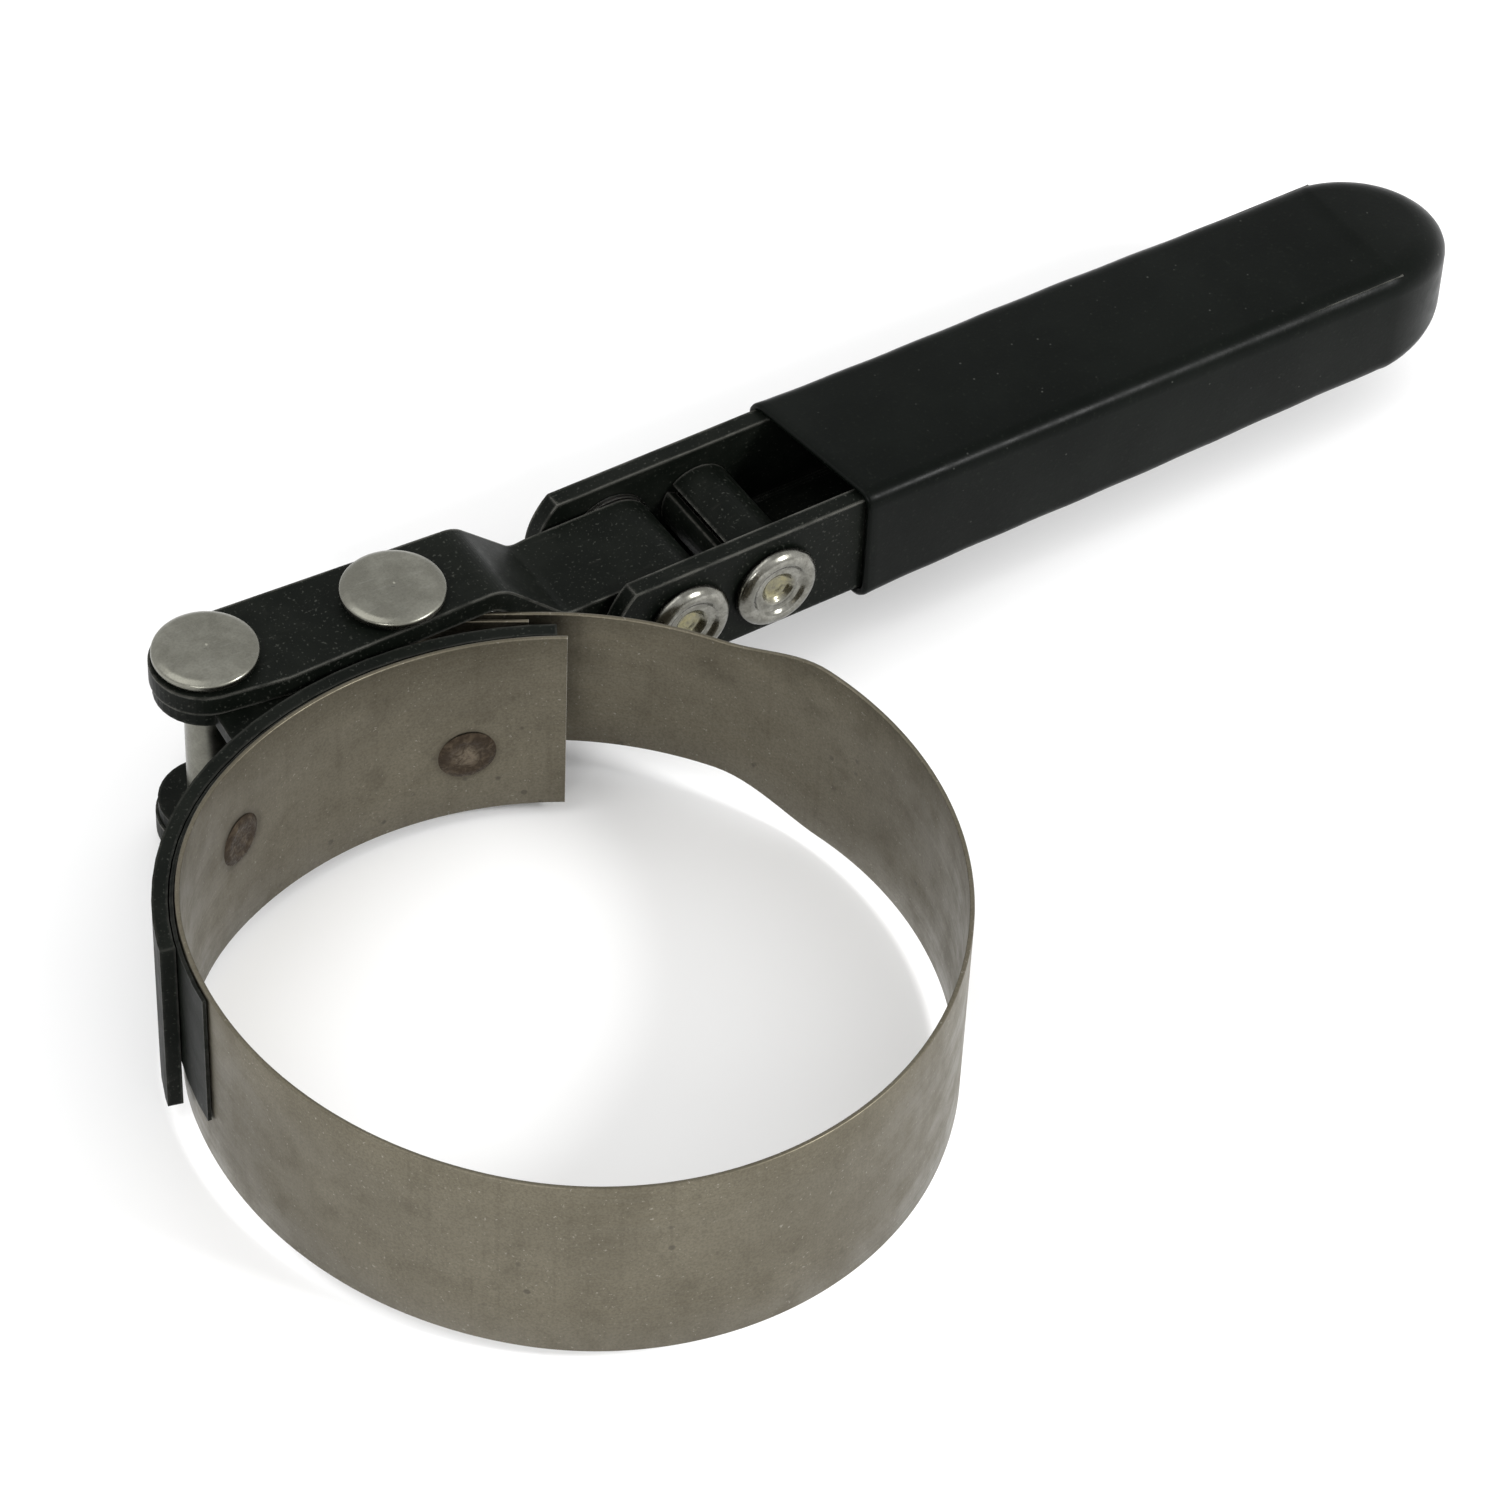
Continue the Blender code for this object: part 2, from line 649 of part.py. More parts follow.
def make_grip(parts, cutters, vinyl):
    half_width = CHANNEL_WIDTH / 2 + TOUCH + GRIP_WALL
    half_height = CHANNEL_HEIGHT / 2 + TOUCH + GRIP_WALL
    early = GRIP_MOUTH_FAR_X - 4 * GRIP_CORNER
    outline = rounded_plan(early, GRIP_TIP_X, half_width)
    grip = prism("grip", outline, half_height, parts, stand(MIDDLE))
    round_edges(grip, GRIP_CORNER, 5)
    skew = [
        Vector((0.0, CHANNEL_Y - 2 * half_width)),
        Vector((mouth_x(-2 * half_width), CHANNEL_Y - 2 * half_width)),
        Vector((mouth_x(2 * half_width), CHANNEL_Y + 2 * half_width)),
        Vector((0.0, CHANNEL_Y + 2 * half_width)),
    ]
    mouth = prism("grip_mouth", skew, 2 * half_height, cutters, stand(MIDDLE))
    combine(grip, mouth, "DIFFERENCE")
    hollow = box(
        "grip_hollow",
        (0.0, CHANNEL_Y - CHANNEL_WIDTH / 2 - TOUCH, MIDDLE - CHANNEL_HEIGHT / 2 - TOUCH),
        (CHANNEL_END_X + TOUCH, CHANNEL_Y + CHANNEL_WIDTH / 2 + TOUCH, MIDDLE + CHANNEL_HEIGHT / 2 + TOUCH),
        cutters,
    )
    combine(grip, hollow, "DIFFERENCE")
    finish(grip, vinyl, 30.0)


def mouth_x(off_middle):
    """The grip mouth's X at a distance across the handle: the sleeve's end is cut slightly askew."""
    half_width = CHANNEL_WIDTH / 2 + TOUCH + GRIP_WALL
    share = (off_middle + half_width) / (2 * half_width)
    return GRIP_MOUTH_NEAR_X + share * (GRIP_MOUTH_FAR_X - GRIP_MOUTH_NEAR_X)


def main():
    clear_scene()
    parts = new_collection("oil_filter_wrench")
    cutters = new_collection("cutters", hidden=True)
    band_steel = make_material("band_steel", (0.42, 0.40, 0.37), 0.38, 1.0)
    burnt_steel = make_material("burnt_steel", (0.16, 0.11, 0.09), 0.6, 0.7)
    zinc = make_material("zinc_plate", (0.55, 0.55, 0.52), 0.35, 1.0)
    spring_steel = make_material("spring_steel", (0.3, 0.3, 0.3), 0.4, 1.0)
    black_paint = make_material("black_oxide", (0.018, 0.02, 0.018), 0.45, 0.2)
    vinyl = make_material("black_vinyl", (0.012, 0.014, 0.012), 0.55, 0.0)
    make_band(parts, band_steel)
    make_shoe_welds(parts, burnt_steel)
    make_flap_welds(parts, burnt_steel)
    make_backing(parts, black_paint)
    make_shoe(parts, cutters, black_paint)
    make_strap(parts, cutters, black_paint)
    make_pivot_rivet("shoe_pivot_rivet", Vector((0.0, 0.0)), parts, zinc)
    make_pivot_rivet("band_pivot_rivet", BAND_PIVOT, parts, zinc)
    make_channel(parts, cutters, black_paint)
    make_channel_rivet("swivel_rivet", SWIVEL_X, parts, zinc)
    make_channel_rivet("spacer_rivet", SPACER_X, parts, zinc)
    make_washers(parts, spring_steel)
    make_spacer(parts, black_paint)
    make_grip(parts, cutters, vinyl)


main()
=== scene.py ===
import math

import bmesh
import bpy
from mathutils import Matrix, Vector


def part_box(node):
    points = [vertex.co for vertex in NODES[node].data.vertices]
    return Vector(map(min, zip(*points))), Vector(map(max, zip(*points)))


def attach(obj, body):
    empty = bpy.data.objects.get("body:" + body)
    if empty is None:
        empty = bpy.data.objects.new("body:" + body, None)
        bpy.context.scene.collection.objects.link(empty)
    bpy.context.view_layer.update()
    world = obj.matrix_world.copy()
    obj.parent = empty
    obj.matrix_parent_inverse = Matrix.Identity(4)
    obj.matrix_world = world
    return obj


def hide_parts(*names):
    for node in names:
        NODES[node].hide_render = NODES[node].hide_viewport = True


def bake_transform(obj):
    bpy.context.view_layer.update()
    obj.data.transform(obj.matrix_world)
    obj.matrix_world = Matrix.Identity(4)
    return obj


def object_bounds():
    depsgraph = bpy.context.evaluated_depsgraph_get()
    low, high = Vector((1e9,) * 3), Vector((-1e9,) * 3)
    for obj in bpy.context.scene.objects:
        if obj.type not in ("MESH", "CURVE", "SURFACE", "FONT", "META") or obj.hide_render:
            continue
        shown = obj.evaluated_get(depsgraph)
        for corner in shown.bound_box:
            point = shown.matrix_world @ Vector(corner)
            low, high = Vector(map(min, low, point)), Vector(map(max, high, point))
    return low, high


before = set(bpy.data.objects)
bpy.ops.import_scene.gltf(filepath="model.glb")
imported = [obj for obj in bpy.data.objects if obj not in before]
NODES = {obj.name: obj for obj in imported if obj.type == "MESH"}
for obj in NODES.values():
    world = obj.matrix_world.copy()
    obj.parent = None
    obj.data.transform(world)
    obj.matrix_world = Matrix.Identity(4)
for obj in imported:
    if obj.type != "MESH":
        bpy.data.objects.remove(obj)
cad_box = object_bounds()

MM = 0.001
TURN = 2 * math.pi

# The band's route in plan, as the CAD draws it
BAND_WIDTH = 24.3 * MM
BAND_THICKNESS = 0.5 * MM
BAND_START = Vector((33.3, -16.1)) * MM
BAND_START_HEADING = math.radians(149.0)
BAND_ARCS = ((40.0, 58.2), (29.8, 49.9), (43.1, 60.1), (36.6, 79.5))
BAND_LAST_RADIUS = 41.4 * MM
BAND_PIVOT = Vector((20.9, -1.9)) * MM
LOOP_RADIUS = 3.2 * MM
THROAT_RADIUS = 4.0 * MM
FLAP_ASIDE = 0.55 * MM
FLAP_LENGTH = 8.4 * MM
TAIL_WIDTH = 18.6 * MM
NECK_END = 28.8 * MM
NECK_LENGTH = 13.0 * MM

# How the band's two visual pieces share the bend, as distances before the loop
BLEND_START_BEFORE_LOOP = 62.0 * MM
BAND_RIM_SOFTNESS = 0.14 * MM

SPOT_WELD_RADII = {"shoe_spot_weld_1": 3.15 * MM, "shoe_spot_weld_2": 2.95 * MM}
SPOT_WELD_HEIGHT = 0.30 * MM
SPOT_WELD_SINK = 0.17 * MM
HEAT_HALO = (2.9 * MM, 4.1 * MM)

PIVOT_HEAD_HEIGHT = 1.5 * MM
PIVOT_SHAFT_RADIUS = 2.5 * MM
PIVOT_FOOT_RADIUS = 5.0 * MM
CHANNEL_HEAD_HEIGHT = 1.5 * MM
CHANNEL_SHAFT_RADIUS = 2.3 * MM
CHANNEL_BORE_RADIUS = 1.75 * MM
RIVET_FACE_DEPTH = 0.9 * MM

GRIP_WALL = 0.85 * MM
GRIP_MOUTH_SKEW = 2.6 * MM
GRIP_MOUTH_DEPTH = 9.0 * MM
GRIP_MOUTH_CORNER = 1.9 * MM
GRIP_TIP_CORNER = 2.8 * MM
GRIP_TIP_CORNER_GROWTH = 1.3 * MM
GRIP_TIP_REACH = 1.3
GRIP_TAPER = 0.25 * MM
GRIP_TIP_DROP = 0.55 * MM

FLOOR_SIZE = 6.0
FLOOR_GAP = 0.1 * MM
WORLD_BRIGHTNESS = 0.97
LIGHT_TARGET = (0.05, -0.03, 0.014)
# Each light's place, diameter and power
LIGHTS = {
    "edge_soft": ((0.53, -0.74, 0.58), 0.22, 7.0),
    "over_soft": ((-0.45, 0.15, 1.0), 0.9, 3.0),
    "front_soft": ((-0.55, -0.55, 0.40), 0.30, 1.6),
}

# The camera, solved from the photograph's edges
CAMERA_PLACE = Vector((-0.19462, -0.38029, 0.45119))
CAMERA_AHEAD = Vector((0.39659, 0.57489, -0.71569))
CAMERA_ROLL = math.radians(-2.81)
CAMERA_LENS = 141.6
CAMERA_SENSOR = 36.0
CAMERA_CLIP = 0.01
FRAMING_SHIFT = 0.414 * MM

MIDDLE = (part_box("band_hoop")[0][2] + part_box("band_hoop")[1][2]) / 2


def middle(node):
    """The middle of a CAD node's box."""
    low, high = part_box(node)
    return (Vector(low) + Vector(high)) / 2


# ---------------------------------------------------------------- materials


class Nodes:
    """Short calls for building one material's node tree."""

    def __init__(self, name):
        self.material = bpy.data.materials.new(name)
        self.material.use_nodes = True
        self.tree = self.material.node_tree
        self.shader = self.tree.nodes["Principled BSDF"]

    def node(self, kind, **settings):
        made = self.tree.nodes.new(kind)
        for key, value in settings.items():
            setattr(made, key, value)
        return made

    def feed(self, socket, value):
        if isinstance(value, bpy.types.NodeSocket):
            self.tree.links.new(value, socket)
        elif isinstance(value, tuple) and len(value) == 3 and socket.type == "RGBA":
            socket.default_value = (*value, 1.0)
        else:
            socket.default_value = value

    def place(self):
        return self.node("ShaderNodeTexCoord").outputs["Object"]

    def stretched(self, vector, scale):
        mapping = self.node("ShaderNodeMapping")
        self.feed(mapping.inputs["Vector"], vector)
        mapping.inputs["Scale"].default_value = scale
        return mapping.outputs["Vector"]

    def noise(self, vector, scale, detail=4.0, roughness=0.55, distortion=0.0):
        made = self.node("ShaderNodeTexNoise")
        self.feed(made.inputs["Vector"], vector)
        made.inputs["Scale"].default_value = scale
        made.inputs["Detail"].default_value = detail
        made.inputs["Roughness"].default_value = roughness
        made.inputs["Distortion"].default_value = distortion
        return made.outputs["Fac"]

    def remap(self, value, low, high, out_low=0.0, out_high=1.0):
        made = self.node("ShaderNodeMapRange", interpolation_type="SMOOTHSTEP")
        self.feed(made.inputs["Value"], value)
        made.inputs["From Min"].default_value = low
        made.inputs["From Max"].default_value = high
        made.inputs["To Min"].default_value = out_low
        made.inputs["To Max"].default_value = out_high
        return made.outputs["Result"]

    def math(self, operation, a, b=0.0):
        made = self.node("ShaderNodeMath", operation=operation)
        self.feed(made.inputs[0], a)
        self.feed(made.inputs[1], b)
        return made.outputs[0]

    def mix(self, factor, a, b):
        made = self.node("ShaderNodeMix", data_type="RGBA", blend_type="MIX")
        self.feed(made.inputs["Factor"], factor)
        self.feed(made.inputs["A"], a)
        self.feed(made.inputs["B"], b)
        return made.outputs["Result"]

    def near(self, vector, point, low, high):
        """1 within the distance low of a point, 0 beyond high."""
        away = self.node("ShaderNodeVectorMath", operation="DISTANCE")
        self.feed(away.inputs[0], vector)
        away.inputs[1].default_value = point
        return self.remap(away.outputs["Value"], low, high, 1.0, 0.0)

    def dots(self, vector, scale, low, high):
        """1 in the middle of scattered round spots, 0 between them."""
        cells = self.node("ShaderNodeTexVoronoi", feature="F1")
        self.feed(cells.inputs["Vector"], vector)
        cells.inputs["Scale"].default_value = scale
        return self.remap(cells.outputs["Distance"], low, high, 1.0, 0.0)

    def nearest(self, vector, points, low, high):
        """1 within the distance low of any of the points, 0 beyond high."""
        mask, *others = [self.near(vector, point, low, high) for point in points]
        for other in others:
            mask = self.math("MAXIMUM", mask, other)
        return mask

    def edges(self, radius, low, high):
        """1 on sharp edges, 0 on flats."""
        bevel = self.node("ShaderNodeBevel", samples=4)
        bevel.inputs["Radius"].default_value = radius
        geometry = self.node("ShaderNodeNewGeometry")
        dot = self.node("ShaderNodeVectorMath", operation="DOT_PRODUCT")
        self.feed(dot.inputs[0], bevel.outputs["Normal"])
        self.feed(dot.inputs[1], geometry.outputs["Normal"])
        return self.remap(self.math("SUBTRACT", 1.0, dot.outputs["Value"]), low, high)

    def bump(self, height, distance, strength=1.0, normal=None):
        made = self.node("ShaderNodeBump")
        made.inputs["Strength"].default_value = strength
        made.inputs["Distance"].default_value = distance
        self.feed(made.inputs["Height"], height)
        if normal is not None:
            self.feed(made.inputs["Normal"], normal)
        return made.outputs["Normal"]

    def finish(self, color, roughness, metallic, normal=None, **constants):
        inputs = self.shader.inputs
        self.feed(inputs["Base Color"], color)
        self.feed(inputs["Roughness"], roughness)
        self.feed(inputs["Metallic"], metallic)
        if normal is not None:
            self.feed(inputs["Normal"], normal)
        for name, value in constants.items():
            inputs[name.replace("_", " ")].default_value = value
        return self.material


def band_material(name):
    """Rolled spring steel, handled and stained, with heat marks round the spot welds."""
    n = Nodes(name)
    place = n.place()
    along = n.node("ShaderNodeTexCoord").outputs["UV"]
    clouds = n.noise(place, 55.0, 5.0, 0.6, 0.4)
    blotches = n.noise(place, 260.0, 4.0, 0.6)
    rolled = n.noise(n.stretched(along, (35.0, 2600.0, 1.0)), 1.0, 4.0, 0.6)
    grain = n.noise(place, 3800.0, 3.0, 0.6)
    color = n.mix(n.remap(clouds, 0.34, 0.70), (0.130, 0.116, 0.085), (0.160, 0.144, 0.107))
    color = n.mix(n.remap(blotches, 0.54, 0.76, 0.0, 0.30), color, (0.088, 0.075, 0.054))
    color = n.mix(n.remap(rolled, 0.35, 0.7, 0.0, 0.28), color, (0.190, 0.176, 0.139))
    crossed = n.noise(n.stretched(along, (900.0, 28.0, 1.0)), 1.0, 3.0, 0.6)
    color = n.mix(n.remap(crossed, 0.50, 0.72, 0.0, 0.22), color, (0.094, 0.082, 0.060))
    color = n.mix(n.remap(grain, 0.35, 0.7, 0.0, 0.42), color, (0.074, 0.065, 0.047))
    glints = n.noise(place, 2600.0, 2.0, 0.5)
    color = n.mix(n.remap(glints, 0.66, 0.76, 0.0, 0.5), color, (0.36, 0.34, 0.29))
    spots = n.math("MULTIPLY", n.dots(place, 420.0, 0.10, 0.19), n.remap(clouds, 0.55, 0.62))
    color = n.mix(n.math("MULTIPLY", spots, 0.6), color, (0.060, 0.054, 0.044))
    heat = n.nearest(place, [tuple(middle(weld)) for weld in SPOT_WELD_RADII], *HEAT_HALO)
    wobble = n.remap(blotches, 0.3, 0.7, 0.55, 1.0)
    heat = n.math("MULTIPLY", n.math("MULTIPLY", heat, 0.62), wobble)
    color = n.mix(heat, color, (0.050, 0.041, 0.029))
    # Sharp edges lightened: partly polished edge wear, partly a painted highlight along the rims.
    edge_mask = n.edges(0.16 * MM, 0.03, 0.35)
    color = n.mix(n.math("MULTIPLY", edge_mask, 0.75), color, (0.52, 0.50, 0.45))
    roughness = n.remap(blotches, 0.3, 0.75, 0.36, 0.52)
    roughness = n.math("ADD", roughness, n.remap(rolled, 0.3, 0.7, -0.04, 0.05))
    normal = n.bump(rolled, 0.006 * MM, 0.5)
    normal = n.bump(clouds, 0.12 * MM, 0.35, normal)
    return n.finish(color, roughness, 1.0, normal)


def weld_material(name):
    """Burnt steel: a dark brown crust, paler in the middle of the first spot weld."""
    n = Nodes(name)
    place = n.place()
    patches = n.noise(place, 900.0, 5.0, 0.65, 0.6)
    fine = n.noise(place, 3200.0, 3.0)
    color = n.mix(n.remap(patches, 0.44, 0.70), (0.042, 0.030, 0.020), (0.092, 0.070, 0.047))
    core = n.near(place, tuple(middle("shoe_spot_weld_1")), 0.6 * MM, 2.2 * MM)
    core = n.math("MULTIPLY", core, n.remap(patches, 0.36, 0.60, 0.1, 0.9))
    color = n.mix(core, color, (0.165, 0.135, 0.098))
    color = n.mix(n.remap(fine, 0.64, 0.80, 0.0, 0.35), color, (0.22, 0.18, 0.13))
    normal = n.bump(patches, 0.10 * MM, 0.8)
    return n.finish(color, n.remap(fine, 0.3, 0.7, 0.42, 0.7), 0.85, normal)


def zinc_material(name, tint, dark):
    """Zinc plate gone dull, with fine scuffs and a painted highlight brightening the rim."""
    n = Nodes(name)
    place = n.place()
    clouds = n.noise(place, 240.0, 4.0, 0.6, 0.3)
    scuffs = n.noise(n.stretched(place, (420.0, 2600.0, 900.0)), 1.0, 4.0, 0.6, 0.3)
    fine = n.noise(place, 4200.0, 3.0)
    color = n.mix(n.remap(clouds, 0.36, 0.66), dark, tint)
    color = n.mix(n.remap(scuffs, 0.55, 0.78, 0.0, 0.35), color, (0.33, 0.33, 0.30))
    color = n.mix(n.remap(fine, 0.35, 0.7, 0.0, 0.25), color, (0.095, 0.093, 0.080))
    # Sharp edges and rims lightened: a painted highlight, standing in for the light's crescent on
    # the rim.
    edge_mask = n.edges(0.50 * MM, 0.02, 0.22)
    color = n.mix(n.math("MULTIPLY", edge_mask, 0.8), color, (0.80, 0.80, 0.75))
    normal = n.bump(scuffs, 0.02 * MM, 0.6)
    normal = n.bump(clouds, 0.09 * MM, 0.4, normal)
    return n.finish(color, n.remap(clouds, 0.3, 0.7, 0.24, 0.36), 1.0, normal)


def rolled_material(name):
    """Brighter plate on the rolled rivet ends, with a painted yellow highlight in the dish."""
    n = Nodes(name)
    place = n.place()
    clouds = n.noise(place, 700.0, 4.0, 0.6, 0.4)
    fine = n.noise(place, 3600.0, 3.0)
    dishes = []
    for rivet in ("swivel_rivet", "spacer_rivet"):
        center = middle(rivet)
        dishes.append((center.x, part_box(rivet)[0][1] + RIVET_FACE_DEPTH, center.z))
    # The middle of each dish is tinted yellow: a painted yellow highlight.
    yellow = n.nearest(place, dishes, 1.0 * MM, 2.3 * MM)
    yellow = n.math("MULTIPLY", yellow, n.remap(clouds, 0.35, 0.6, 0.3, 0.8))
    color = n.mix(n.remap(clouds, 0.36, 0.66), (0.17, 0.167, 0.146), (0.27, 0.266, 0.238))
    color = n.mix(yellow, color, (0.31, 0.28, 0.135))
    color = n.mix(n.remap(fine, 0.4, 0.7, 0.0, 0.3), color, (0.09, 0.087, 0.074))
    normal = n.bump(clouds, 0.04 * MM, 0.5)
    return n.finish(color, n.remap(fine, 0.3, 0.7, 0.18, 0.28), 1.0, normal)


def black_material(name, wear):
    """Black oxide over pressed steel: faint grey bloom, pits, and edges worn to the metal."""
    n = Nodes(name)
    place = n.place()
    clouds = n.noise(place, 120.0, 5.0, 0.6, 0.5)
    pits = n.noise(place, 1500.0, 4.0, 0.62)
    rub = n.noise(n.stretched(place, (260.0, 900.0, 900.0)), 1.0, 4.0, 0.62, 0.4)
    bloom = n.remap(clouds, 0.35, 0.68)
    color = n.mix(bloom, (0.0030, 0.0040, 0.0030), (0.0062, 0.0074, 0.0058))
    color = n.mix(n.remap(rub, 0.58, 0.80, 0.0, 0.5), color, (0.020, 0.020, 0.017))
    color = n.mix(n.remap(pits, 0.60, 0.75, 0.0, 0.6), color, (0.0045, 0.0045, 0.0040))
    patchy = n.remap(rub, 0.34, 0.62, 0.25, 1.0)
    edge_mask = n.math("MULTIPLY", n.edges(0.55 * MM, 0.01, 0.12), patchy)
    color = n.mix(n.math("MULTIPLY", edge_mask, wear), color, (0.170, 0.168, 0.150))
    specks = n.noise(place, 3000.0, 2.0, 0.5)
    color = n.mix(n.remap(specks, 0.62, 0.72, 0.0, 0.45), color, (0.060, 0.063, 0.054))
    metallic = n.math("MULTIPLY", edge_mask, 0.6)
    roughness = n.remap(clouds, 0.3, 0.7, 0.36, 0.50)
    normal = n.bump(pits, 0.03 * MM, 0.5)
    normal = n.bump(clouds, 0.15 * MM, 0.3, normal)
    return n.finish(color, roughness, metallic, normal, Specular_IOR_Level=0.05)


def vinyl_material(name):
    """Dipped vinyl: satin black skin with a fine leathery grain and rubbed highlights."""
    n = Nodes(name)
    place = n.place()
    clouds = n.noise(place, 70.0, 4.0, 0.6, 0.3)
    grain = n.noise(place, 2100.0, 4.0, 0.6)
    skin = n.noise(place, 520.0, 3.0, 0.5)
    bloom = n.remap(clouds, 0.35, 0.68)
    color = n.mix(bloom, (0.0016, 0.0024, 0.0018), (0.0030, 0.0041, 0.0032))
    color = n.mix(n.remap(grain, 0.58, 0.74, 0.0, 0.6), color, (0.010, 0.012, 0.009))
    motes = n.math("MULTIPLY", n.dots(place, 700.0, 0.05, 0.11), n.remap(skin, 0.5, 0.6))
    color = n.mix(n.math("MULTIPLY", motes, 0.5), color, (0.075, 0.078, 0.070))
    roughness = n.remap(skin, 0.3, 0.7, 0.28, 0.36)
    normal = n.bump(grain, 0.022 * MM, 0.6)
    normal = n.bump(skin, 0.02 * MM, 0.35, normal)
    return n.finish(color, roughness, 0.0, normal, Specular_IOR_Level=0.06)


def floor_material():
    """Matt white card, barely mottled."""
    n = Nodes("pale_floor")
    place = n.place()
    mottle = n.noise(place, 9.0, 3.0)
    color = n.mix(mottle, (0.93, 0.93, 0.93), (0.95, 0.95, 0.95))
    return n.finish(color, 0.9, 0.0, Specular_IOR_Level=0.1)


BAND = band_material("band_steel_stained")
WELD = weld_material("weld_nugget_burnt")
ZINC = zinc_material("zinc_dull", (0.232, 0.230, 0.196), (0.176, 0.173, 0.146))
BLACK = black_material("black_oxide_worn", 0.75)
SHOE_BLACK = black_material("black_oxide_shoe", 0.22)
VINYL = vinyl_material("vinyl_dipped")
ROLLED = rolled_material("zinc_bright_rolled")
SPRING = zinc_material("spring_steel_grey", (0.17, 0.165, 0.15), (0.11, 0.105, 0.095))


# ---------------------------------------------------------------- shapes


def make_object(name, form, material, smooth_degrees=35.0):
    """An object of the bmesh, shaded smooth up to an angle."""
    mesh = bpy.data.meshes.new(name)
    form.to_mesh(mesh)
    form.free()
    mesh.materials.append(material)
    mesh.shade_smooth()
    mesh.set_sharp_from_angle(angle=math.radians(smooth_degrees))
    made = bpy.data.objects.new(name, mesh)
    bpy.context.scene.collection.objects.link(made)
    return made


def lathe(name, profile, place, axis, material, steps=96, smooth_degrees=35.0, roughen=None):
    """A turned piece.

    The profile's (radius, height) points run from the axis on top, down the outside, to the
    axis below.
    """
    form = bmesh.new()
    rings = []
    for radius, height in profile:
        if radius < 1e-7:
            rings.append([form.verts.new((0.0, 0.0, height))])
            continue
        ring = []
        for step in range(steps):
            angle = TURN * step / steps
            z = height + (roughen(radius, angle) if roughen else 0.0)
            ring.append(form.verts.new((radius * math.cos(angle), radius * math.sin(angle), z)))
        rings.append(ring)
    for upper, lower in zip(rings, rings[1:]):
        for step in range(steps):
            after = (step + 1) % steps
            if len(upper) == 1:
                form.faces.new((upper[0], lower[step], lower[after]))
            elif len(lower) == 1:
                form.faces.new((upper[step], lower[0], upper[after]))
            else:
                form.faces.new((upper[step], lower[step], lower[after], upper[after]))
    turn = Vector((0.0, 0.0, 1.0)).rotation_difference(Vector(axis)).to_matrix().to_4x4()
    bmesh.ops.transform(form, matrix=Matrix.Translation(place) @ turn, verts=form.verts)
    bmesh.ops.recalc_face_normals(form, faces=form.faces)
    return make_object(name, form, material, smooth_degrees)


def rounded(points, radius, steps=5):
    """The profile with each inner corner rounded, by the radius or less where a side is short."""
    result = [points[0]]
    for before, corner, after in zip(points, points[1:], points[2:]):
        a, c, b = Vector(before), Vector(corner), Vector(after)
        reach = min(radius, (a - c).length * 0.45, (b - c).length * 0.45)
        first = c + (a - c).normalized() * reach
        last = c + (b - c).normalized() * reach
        for step in range(steps + 1):
            t = step / steps
            point = first * (1 - t) ** 2 + c * 2 * t * (1 - t) + last * t * t
            result.append((max(point.x, 0.0), point.y))
    result.append(points[-1])
    return result


class Route:
    """A line in plan, drawn by driving straight and turning."""

    def __init__(self, start, heading):
        self.points = [start.copy()]
        self.heading = heading

    def side(self):
        return Vector((-math.sin(self.heading), math.cos(self.heading)))

    def straight(self, length, steps):
        ahead = Vector((math.cos(self.heading), math.sin(self.heading)))
        start = self.points[-1]
        self.points += [start + ahead * length * (i + 1) / steps for i in range(steps)]

    def turn(self, radius, sweep, step=math.radians(1.5)):
        toward = math.copysign(1.0, sweep)
        center = self.points[-1] + toward * radius * self.side()
        start = self.heading - toward * math.pi / 2
        steps = max(2, math.ceil(abs(sweep) / step))
        for i in range(1, steps + 1):
            angle = start + sweep * i / steps
            self.points.append(center + radius * Vector((math.cos(angle), math.sin(angle))))
        self.heading += sweep


def band_route():
    """The band's points in plan, each one's distance along it, and the distance to the loop."""
    route = Route(BAND_START, BAND_START_HEADING)
    for radius, degrees in BAND_ARCS:
        route.turn(radius * MM, math.radians(degrees))
    throat = math.acos((FLAP_ASIDE + THROAT_RADIUS) / (LOOP_RADIUS + THROAT_RADIUS))
    throat_length = (LOOP_RADIUS + THROAT_RADIUS) * math.sin(throat)
    to_loop = BAND_PIVOT - (route.points[-1] + BAND_LAST_RADIUS * route.side())
    difference = BAND_LAST_RADIUS - FLAP_ASIDE
    straight = math.sqrt(to_loop.length_squared - difference**2)
    leaving = math.atan2(to_loop.y, to_loop.x) + math.atan2(difference, straight)
    route.turn(BAND_LAST_RADIUS, (leaving - route.heading) % TURN)
    route.straight(straight - throat_length, 12)
    loop_start = len(route.points) - 1
    route.turn(THROAT_RADIUS, -throat, math.radians(4))
    route.turn(LOOP_RADIUS, math.pi + 2 * throat, math.radians(5))
    route.turn(THROAT_RADIUS, -throat, math.radians(4))
    route.straight(FLAP_LENGTH, 6)
    distances = [0.0]
    for before, after in zip(route.points, route.points[1:]):
        distances.append(distances[-1] + (after - before).length)
    return route.points, distances, distances[loop_start]


def band_section(top):
    """The band's outline across its length, as (off, rise) points, with softened rims."""
    half = BAND_THICKNESS / 2
    soft = BAND_RIM_SOFTNESS
    quarter = [
        (half, 0.0), (half, top * 0.5), (half, top - soft),
        (half - soft * 0.3, top - soft * 0.3), (half - soft, top),
    ]
    upper = quarter + [(-off, rise) for off, rise in reversed(quarter)]
    lower = [(off, -rise) for off, rise in reversed(upper)]
    return upper + lower[1:-1]


